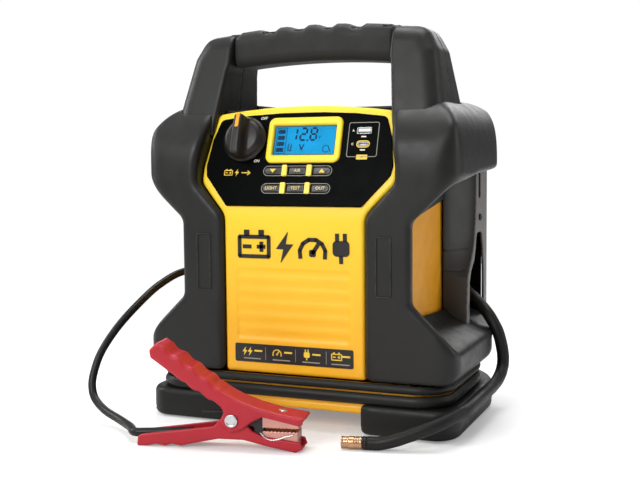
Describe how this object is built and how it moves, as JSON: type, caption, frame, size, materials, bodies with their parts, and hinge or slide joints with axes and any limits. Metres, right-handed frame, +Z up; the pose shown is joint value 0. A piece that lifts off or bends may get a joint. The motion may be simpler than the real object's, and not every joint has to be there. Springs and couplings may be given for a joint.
{
  "type": "jump starter pack",
  "caption": "Upright battery booster with a carrying handle, leaning control panel, selector knob, display, air hose with chuck, and two spring clamps on cables.",
  "frame": {"origin": "centre of the body's footprint, on the floor under the rubber pads", "axes": "+Z up, the control panel faces -Y, +X is towards the air hose's side"},
  "size_m": [0.3475, 0.3819, 0.353],
  "materials": {
    "shell_black": "satin",
    "base_black": "satin",
    "body_yellow": "satin",
    "panel_gloss": "gloss",
    "label_dark": "gloss",
    "display_clear": "gloss",
    "display_blue": "gloss",
    "grip_rubber": "matt",
    "key_black": "satin",
    "knob_black": "satin",
    "pointer_orange": "gloss",
    "bright_steel": "satin",
    "screw_black": "satin",
    "hose_rubber": "matt",
    "chuck_brass": "satin",
    "jaw_copper": "satin",
    "clamp_red": "satin",
    "clamp_black": "satin",
    "board_green": "satin",
    "battery_grey": "satin",
    "switch_black": "satin",
    "motor_can": "satin",
    "cast_alloy": "satin",
    "gear_nylon": "satin",
    "lamp_clear": "gloss",
    "lamp_mirror": "gloss"
  },
  "bodies": {
    "housing": {"front_cover": "body_yellow", "left_side_shell": "shell_black", "right_side_shell": "shell_black", "core_housing": "body_yellow", "rear_cover": "shell_black", "top_deck": "shell_black", "base_tray": "body_yellow", "bumper_ribs": "base_black", "left_foot": "base_black", "right_foot": "base_black", "rubber_pads": "grip_rubber", "handle_front": "shell_black", "handle_rear": "shell_black", "handle_grip": "grip_rubber", "control_panel": "panel_gloss", "display_bezel": "body_yellow", "display_window": "display_clear", "display_module": "display_blue", "usb_sockets": "bright_steel", "main_board": "board_green", "rotary_switch": "switch_black", "front_labels": "label_dark", "left_bay_cover": "base_black", "right_bay_cover": "base_black", "housing_screws": "screw_black", "battery": "battery_grey", "battery_terminals": "chuck_brass", "compressor_motor": "motor_can", "compressor_frame": "cast_alloy", "charger_board": "board_green", "ac_inlet": "switch_black", "lamp_lens": "lamp_clear", "lamp_reflector": "lamp_mirror", "air_hose": "hose_rubber", "hose_ferrule": "hose_rubber", "air_chuck": "chuck_brass", "red_cable": "hose_rubber", "black_cable": "hose_rubber", "red_clamp_lower": "clamp_red", "red_jaw_lower": "jaw_copper", "black_clamp_lower": "clamp_black", "black_jaw_lower": "jaw_copper", "clamp_pins": "bright_steel", "clamp_springs": "bright_steel"},
    "selector": {"selector_knob": "knob_black", "knob_pointer": "pointer_orange"},
    "down_key": {"key_down": "key_black"},
    "air_key": {"key_air": "key_black"},
    "up_key": {"key_up": "key_black"},
    "light_key": {"key_light": "key_black"},
    "test_key": {"key_test": "key_black"},
    "usb_key": {"key_usb": "key_black"},
    "red_clamp_handle": {"red_clamp_upper": "clamp_red", "red_jaw_upper": "jaw_copper"},
    "black_clamp_handle": {"black_clamp_upper": "clamp_black", "black_jaw_upper": "jaw_copper"},
    "inlet_flap": {"ac_flap": "shell_black"},
    "crank": {"crank_gear": "gear_nylon"},
    "rotor": {"motor_rotor": "bright_steel"},
    "plunger": {"piston": "cast_alloy"}
  },
  "joints": [
    {"name": "selector_turn", "type": "hinge", "parent": "housing", "child": "selector", "pos_m": [-0.0515, -0.07584, 0.24897], "axis": [0, -0.9511, 0.309], "range_deg": [-90, 0]},
    {"name": "down_key_press", "type": "slide", "parent": "housing", "child": "down_key", "axis": [0, 0.9511, -0.309], "range_m": [0, 0.001]},
    {"name": "air_key_press", "type": "slide", "parent": "housing", "child": "air_key", "axis": [0, 0.9511, -0.309], "range_m": [0, 0.001]},
    {"name": "up_key_press", "type": "slide", "parent": "housing", "child": "up_key", "axis": [0, 0.9511, -0.309], "range_m": [0, 0.001]},
    {"name": "light_key_press", "type": "slide", "parent": "housing", "child": "light_key", "axis": [0, 0.9511, -0.309], "range_m": [0, 0.001]},
    {"name": "test_key_press", "type": "slide", "parent": "housing", "child": "test_key", "axis": [0, 0.9511, -0.309], "range_m": [0, 0.001]},
    {"name": "usb_key_press", "type": "slide", "parent": "housing", "child": "usb_key", "axis": [0, 0.9511, -0.309], "range_m": [0, 0.001]},
    {"name": "red_clamp_squeeze", "type": "hinge", "parent": "housing", "child": "red_clamp_handle", "pos_m": [-0.02052, -0.16453, 0.0249], "axis": [0.1982, -0.9802, 0], "range_deg": [0, 32]},
    {"name": "black_clamp_squeeze", "type": "hinge", "parent": "housing", "child": "black_clamp_handle", "pos_m": [0.02129, 0.17089, 0.0249], "axis": [-0.0872, -0.9962, 0], "range_deg": [0, 32]},
    {"name": "inlet_flap_lift", "type": "hinge", "parent": "housing", "child": "inlet_flap", "pos_m": [-0.038, 0.1001, 0.1686], "axis": [1, 0, 0], "range_deg": [0, 95]},
    {"name": "crank_spin", "type": "hinge", "parent": "housing", "child": "crank", "pos_m": [0.023, 0.018, 0.217], "axis": [1, 0, 0], "continuous": true},
    {"name": "rotor_spin", "type": "hinge", "parent": "housing", "child": "rotor", "pos_m": [0.023, 0.042, 0.217], "axis": [1, 0, 0], "continuous": true},
    {"name": "piston_stroke", "type": "slide", "parent": "housing", "child": "plunger", "axis": [0, 1, 0], "range_m": [-0.005, 0.005]}
  ],
  "couplings": [
    {"joint": "rotor_spin", "follows": "crank_spin", "ratio": -3}
  ]
}
